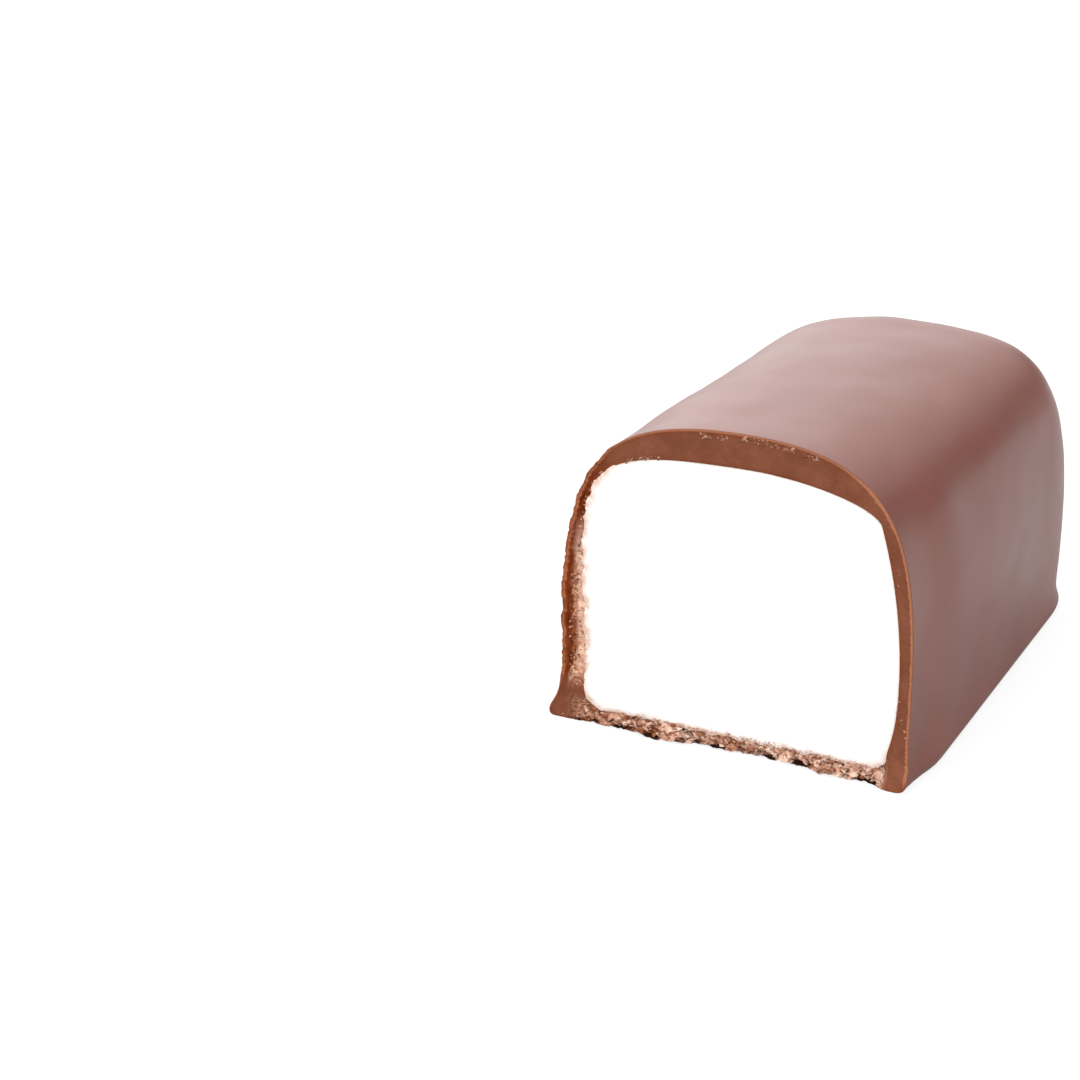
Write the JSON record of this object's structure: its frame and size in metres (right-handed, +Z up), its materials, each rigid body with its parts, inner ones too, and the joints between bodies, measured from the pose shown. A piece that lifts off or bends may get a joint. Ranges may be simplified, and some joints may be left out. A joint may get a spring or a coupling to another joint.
{
  "type": "chocolate-coated marshmallow bar, cut in half",
  "caption": "Half of an arched marshmallow bar coated in milk chocolate, with a straight cut face that shows the white filling inside its chocolate rim.",
  "frame": {"origin": "middle of the underside's bounding box, on the surface that the piece rests on", "axes": "+Z up; +Y along the bar from the cut face to the closed rounded end; +X to the right when looking at the cut face"},
  "size_m": [0.0256, 0.0392, 0.0208],
  "materials": {
    "milk_chocolate": "satin, gently uneven",
    "marshmallow_foam": "matte, fine foam"
  },
  "bodies": {
    "root": {"chocolate_coating": "milk_chocolate", "marshmallow": "marshmallow_foam"}
  },
  "joints": []
}
